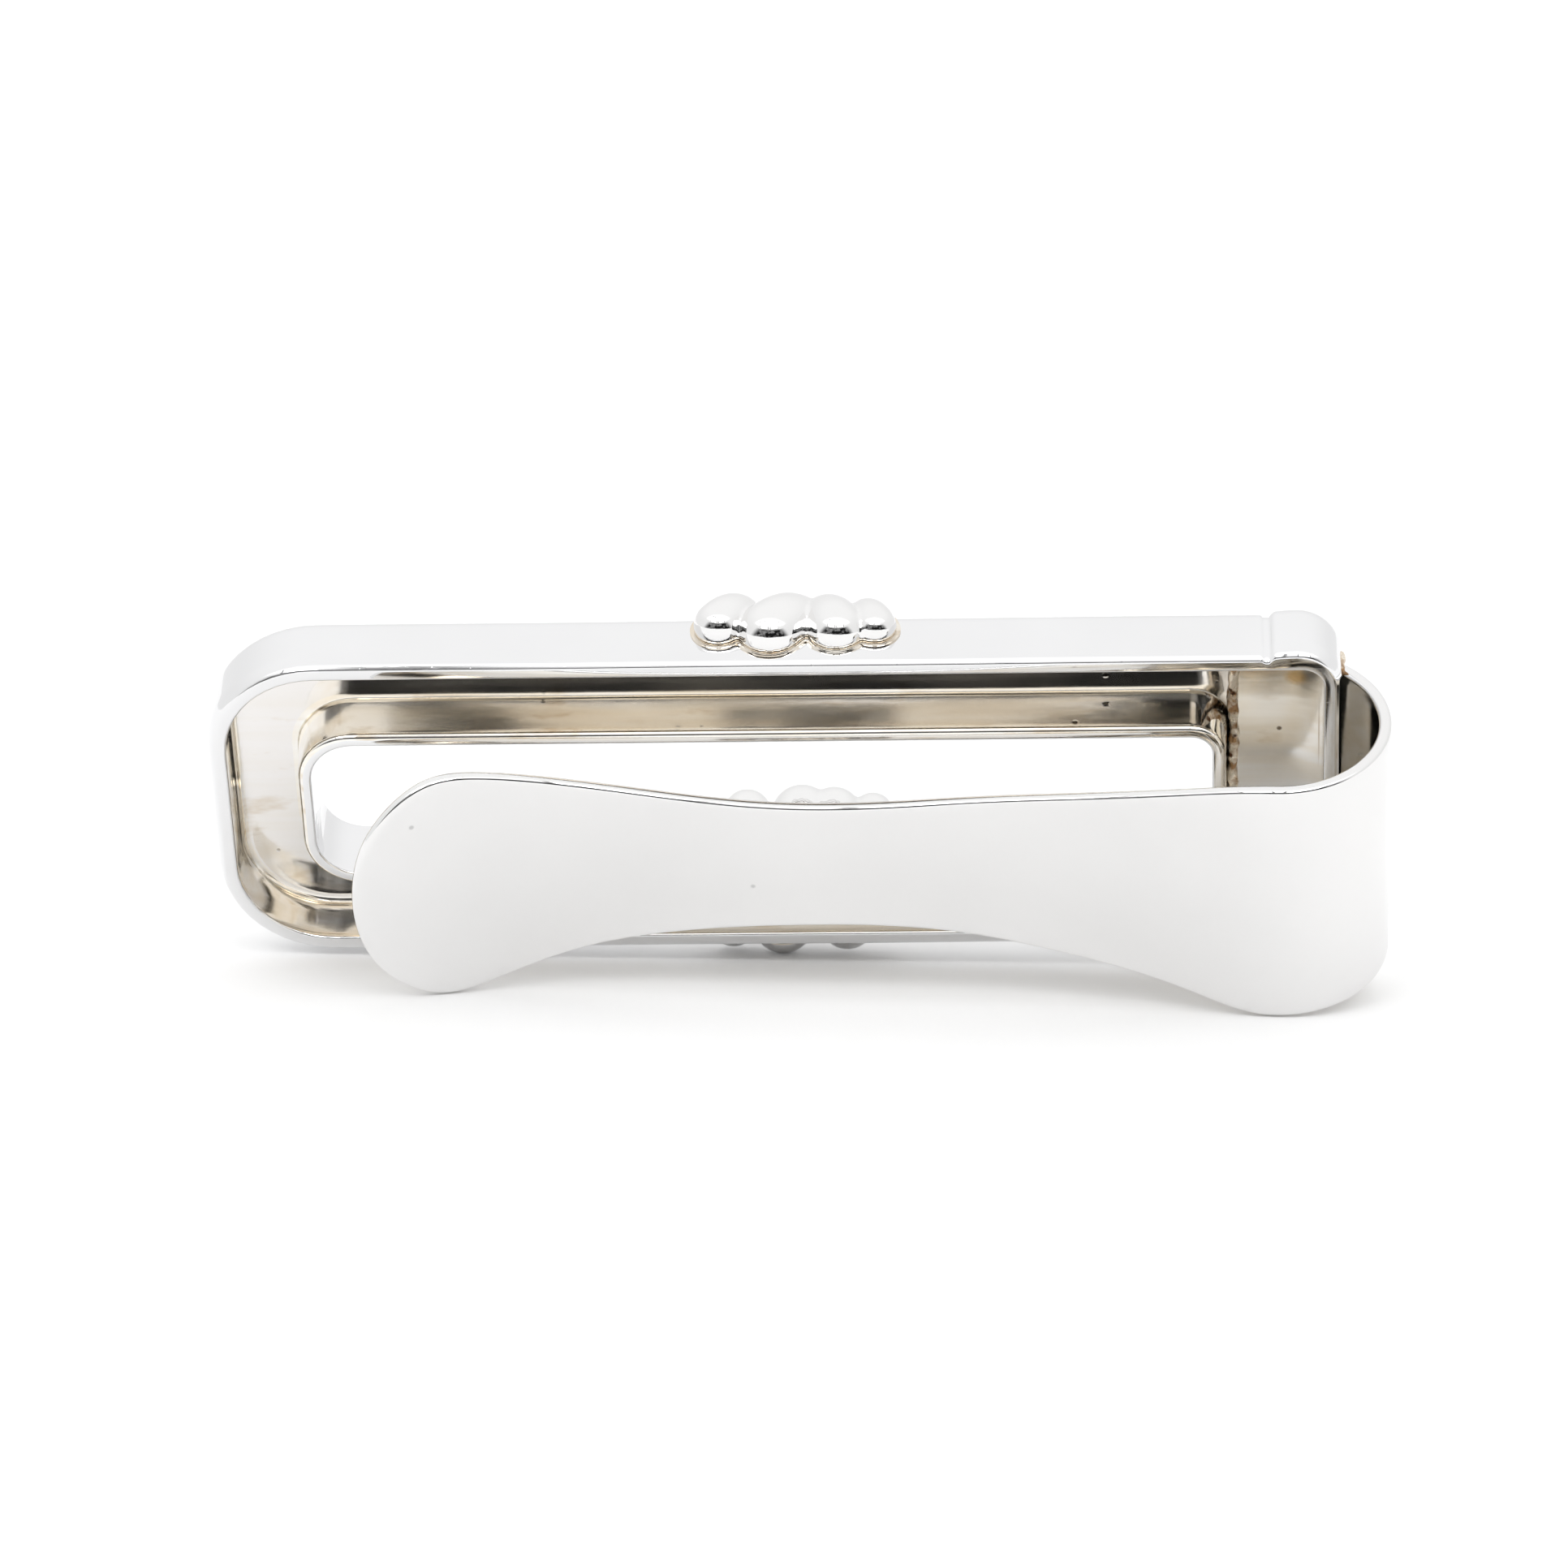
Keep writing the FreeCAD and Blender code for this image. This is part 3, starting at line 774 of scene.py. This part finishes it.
class Sky(Nodes):
    """Builds the world's brightness from the direction of view."""

    def __init__(self, world):
        world.use_nodes = True
        super().__init__(world.node_tree)
        self.view = self.tree.nodes.new("ShaderNodeTexCoord").outputs["Generated"]

    def along(self, direction):
        """Part of the view that points along a direction, -1 to 1."""
        node = self.tree.nodes.new("ShaderNodeVectorMath")
        node.operation = "DOT_PRODUCT"
        self.feed(node.inputs[0], self.view)
        node.inputs[1].default_value = direction
        return node.outputs["Value"]

    def ease(self, value, low, high, out_low=0.0, out_high=1.0):
        """Ramp with soft ends."""
        return self.ramp(value, low, high, out_low, out_high, "SMOOTHSTEP")

    def clutter(self):
        """Dim shapes of a dark room."""
        node = self.tree.nodes.new("ShaderNodeTexNoise")
        node.inputs["Scale"].default_value = 5.0
        self.feed(node.inputs["Vector"], self.view)
        return self.ease(node.outputs["Fac"], *ROOM_SHAPES, *ROOM_DIM)

    def box_distance(self, across, height, centre):
        """Below 1 inside a lamp pane, 1 at its border."""
        sides = []
        for value, middle, reach in zip((across, height), centre, PANE_HALF):
            away = self.math("ABSOLUTE", self.math("SUBTRACT", value, middle), 0.0)
            sides.append(self.math("DIVIDE", away, reach))
        return self.math("MAXIMUM", *sides)

    def shine(self, strength):
        """Lights the world, and shows the camera a plain backdrop instead."""
        node = self.tree.nodes.new("ShaderNodeMix")
        self.feed(node.inputs["Factor"], self.camera_ray())
        self.feed(node.inputs["A"], strength)
        self.feed(node.inputs["B"], BACKDROP)
        background = self.tree.nodes["Background"]
        background.inputs["Color"].default_value = (1, 1, 1, 1)
        self.feed(background.inputs["Strength"], node.outputs["Result"])


def light_studio(up):
    """White tent, open to a dark room behind the camera, with a lamp and two brighter panes above it."""
    world = bpy.data.worlds.new("studio")
    bpy.context.scene.world = world
    sky = Sky(world)
    height = sky.along(up)
    toward_camera = sky.along((0, -1, 0))
    sideways = sky.along((1, 0, 0))
    tent = sky.ease(height, *TENT_RISE, TENT_SIDES, TENT_TOP)
    over_room = sky.ease(height, *ROOM_RISE)
    beside_room = sky.ease(toward_camera, *ROOM_SIDE, 1.0, 0.0)
    open_sky = sky.math("MAXIMUM", over_room, beside_room)
    shade = sky.math("MULTIPLY", tent, sky.math("MAXIMUM", open_sky, sky.clutter()))
    lamp_height = sky.ease(height, *LAMP_RISE, 0.0, LAMP)
    lamp_side = sky.ease(toward_camera, *LAMP_SIDE)
    shade = sky.math("ADD", shade, sky.math("MULTIPLY", lamp_height, lamp_side))
    front = sky.ease(toward_camera, *PANE_SIDE)
    for centre in PANE_CENTRES:
        away = sky.box_distance(sideways, height, centre)
        pane = sky.math("MULTIPLY", front, sky.ease(away, *PANE_EDGE, LAMP_PANE, 0.0))
        border = sky.math("SUBTRACT", sky.ease(away, *BORDER_START, 0.0, PANE_BORDER),
                          sky.ease(away, *BORDER_END, 0.0, PANE_BORDER))
        keep = sky.math("SUBTRACT", 1.0, sky.math("MULTIPLY", front, border))
        shade = sky.math("ADD", sky.math("MULTIPLY", shade, keep), pane)
    sky.shine(shade)
    bpy.context.scene.view_settings.view_transform = "Standard"


# ---------------------------------------------------------------- cuffs and solder
CUFF_VOXEL = 0.09               # grain of the cuffs' mesh, and how often it is smoothed
CUFF_SOFTEN = 5
LEG_BEAD = 0.22                 # radii of the solder beads, and half the length of those in the slot
SLOT_BEAD = 0.28
SLOT_BEAD_HALF = 0.75
BEAD_SIDES = 20                 # points round a bead, height of its lumps, and number of waves in them
BEAD_LUMPS = 0.45
BEAD_WAVES = 7
BEAD_PACE = 1.5                 # turning of the longest wave, in radians per millimetre
BEAD_FADE = 0.3                 # how much weaker each shorter wave is
BEAD_ENDS = 12                  # power that keeps a bead full nearly to its ends
BEAD_TILT = (0.31, 0.42, 0.85)  # any direction away from a bead's own
LEG_BEAD_ROWS = 160             # points along a bead
SLOT_BEAD_ROWS = 40


def build_cuffs():
    """The corded cuffs: the frame's own cuffs, with their cords grown together and the creases softened."""
    for level in ("upper", "lower"):
        node = "cuff_" + level
        rough = bpy.data.meshes.new_from_object(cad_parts[node])
        close_up(rough)
        cords = add_piece(node + "_cords", rough)
        voxels = cords.modifiers.new("voxels", "REMESH")
        voxels.mode = "VOXEL"
        voxels.voxel_size = CUFF_VOXEL * MM
        soften = cords.modifiers.new("soften", "SMOOTH")
        soften.factor = 0.5
        soften.iterations = CUFF_SOFTEN
        graph = bpy.context.evaluated_depsgraph_get()
        smooth = bpy.data.meshes.new_from_object(cords.evaluated_get(graph))
        cords.modifiers.clear()
        cords.data = smooth
        smooth.materials.clear()
        dress(smooth, silver_cuff)
        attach(cords, "frame")
        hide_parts(node)


def lumps(angle, along, count):
    """Uneven surface of a solder bead: waves of several lengths, at seeded places."""
    total = 0
    for index in range(count):
        phase = random.uniform(0, 2 * math.pi, 2)
        pace = BEAD_PACE * (index + 1)
        wave = np.sin(pace * along + phase[0]) * np.cos((index % 3 + 1) * angle + phase[1])
        total = total + wave / (1 + BEAD_FADE * index)
    return total / math.sqrt(count)


def lumpy_bead(name, node, first, last, radius, rows):
    """A crusty bead of solder between two points; it stands for a frame node."""
    first = np.array(first)
    last = np.array(last)
    length = np.linalg.norm(last - first)
    along = (last - first) / length
    side = np.cross(along, BEAD_TILT)
    side /= np.linalg.norm(side)
    other = np.cross(along, side)
    angles = np.linspace(0, 2 * math.pi, BEAD_SIDES, endpoint=False)
    places = np.linspace(0, 1, rows)
    angle_grid, place_grid = np.meshgrid(angles, places)
    rise = 1 + BEAD_LUMPS * lumps(angle_grid, place_grid * length, BEAD_WAVES)
    swell = radius * rise * np.sqrt(np.clip(1 - (2 * place_grid - 1) ** BEAD_ENDS, 0, 1))
    points = []
    for row in range(rows):
        for column in range(len(angles)):
            out = math.cos(angles[column]) * side + math.sin(angles[column]) * other
            points.append(first + along * length * places[row] + out * swell[row, column])
    bead = add_mesh(name, points, grid_faces(rows, len(angles), False, True), (solder_crust,))
    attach(bead, "frame")
    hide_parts(node)


def build_solder():
    """Crusty beads where the strip is soldered into the frame."""
    inner_y = FLOOR_Y - STRIP_THICK
    lumpy_bead("leg_bead", "anchor_solder", (LEG_X, inner_y, MID_Z - STRIP_HALF),
               (LEG_X, inner_y, MID_Z + STRIP_HALF), LEG_BEAD, LEG_BEAD_ROWS)
    slot_x = END_X - RIM_INSET / 4
    slot_y = BEND_Y + math.sqrt((BEND_RADIUS - STRIP_THICK / 2) ** 2 - (slot_x - BEND_X) ** 2)
    for level, way in (("upper", 1), ("lower", -1)):
        z = MID_Z + way * STRIP_HALF
        lumpy_bead("slot_bead_" + level, "end_solder_" + level, (slot_x, slot_y - SLOT_BEAD_HALF, z),
                   (slot_x, slot_y + SLOT_BEAD_HALF, z), SLOT_BEAD, SLOT_BEAD_ROWS)


def dress_nodes():
    """Materials on the frame nodes that stay visible."""
    for name in ("cuff_solder_upper", "cuff_solder_lower"):
        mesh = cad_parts[name].data
        mesh.materials.clear()
        dress(mesh, solder_film)


build_frame()
build_strip()
build_cuffs()
build_solder()
dress_nodes()
aim_camera()
light_studio(lay_floor())
